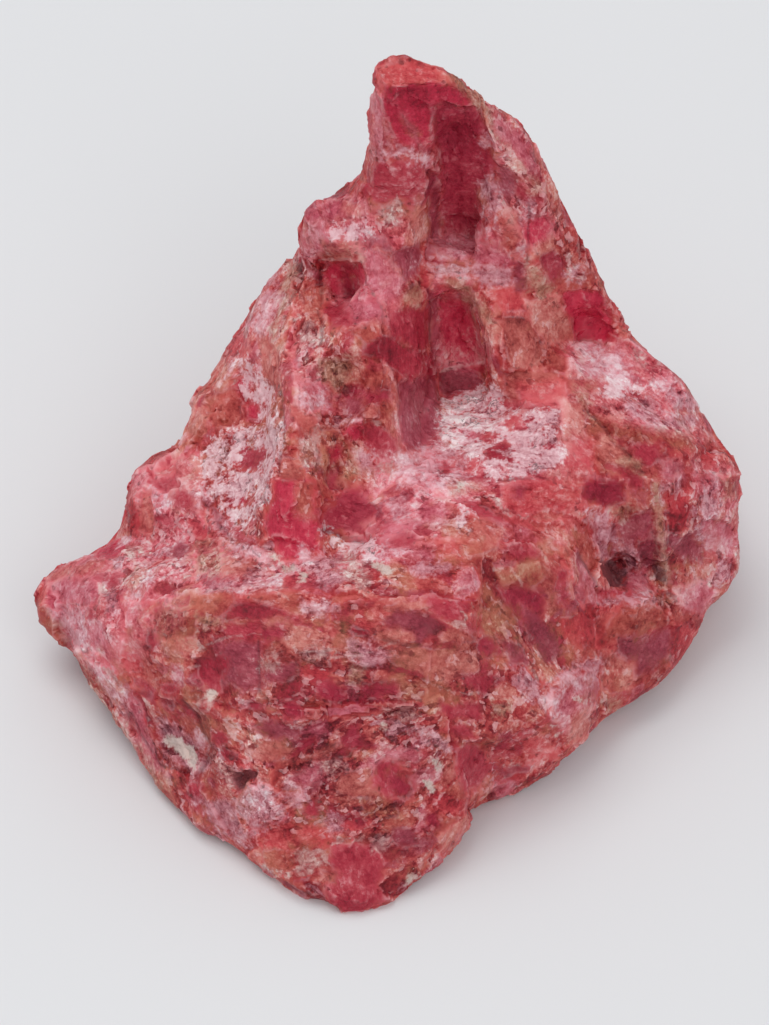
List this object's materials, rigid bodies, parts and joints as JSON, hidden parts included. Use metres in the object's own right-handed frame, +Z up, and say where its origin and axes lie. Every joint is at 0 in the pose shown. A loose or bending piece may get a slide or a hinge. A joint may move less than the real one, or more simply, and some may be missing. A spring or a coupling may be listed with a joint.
{
  "type": "rhodonite specimen",
  "caption": "Rough hand specimen of massive pink-red rhodonite with a tall fin-like peak, a recessed pale shelf and a broad rounded belly, for resting on a surface.",
  "frame": {"origin": "on the surface that the stone rests on, midway across and midway along its outline", "axes": "+Z up from the resting face, +Y from the front toe towards the peak at the back, +X to the right when the stone is seen from the toe"},
  "size_m": [0.0988, 0.1078, 0.0849],
  "materials": {
    "rhodonite": "raw broken crystal faces, glassy where they cleave and dull where they are granular or crusted"
  },
  "bodies": {
    "root": {"rhodonite": "rhodonite"}
  },
  "joints": []
}
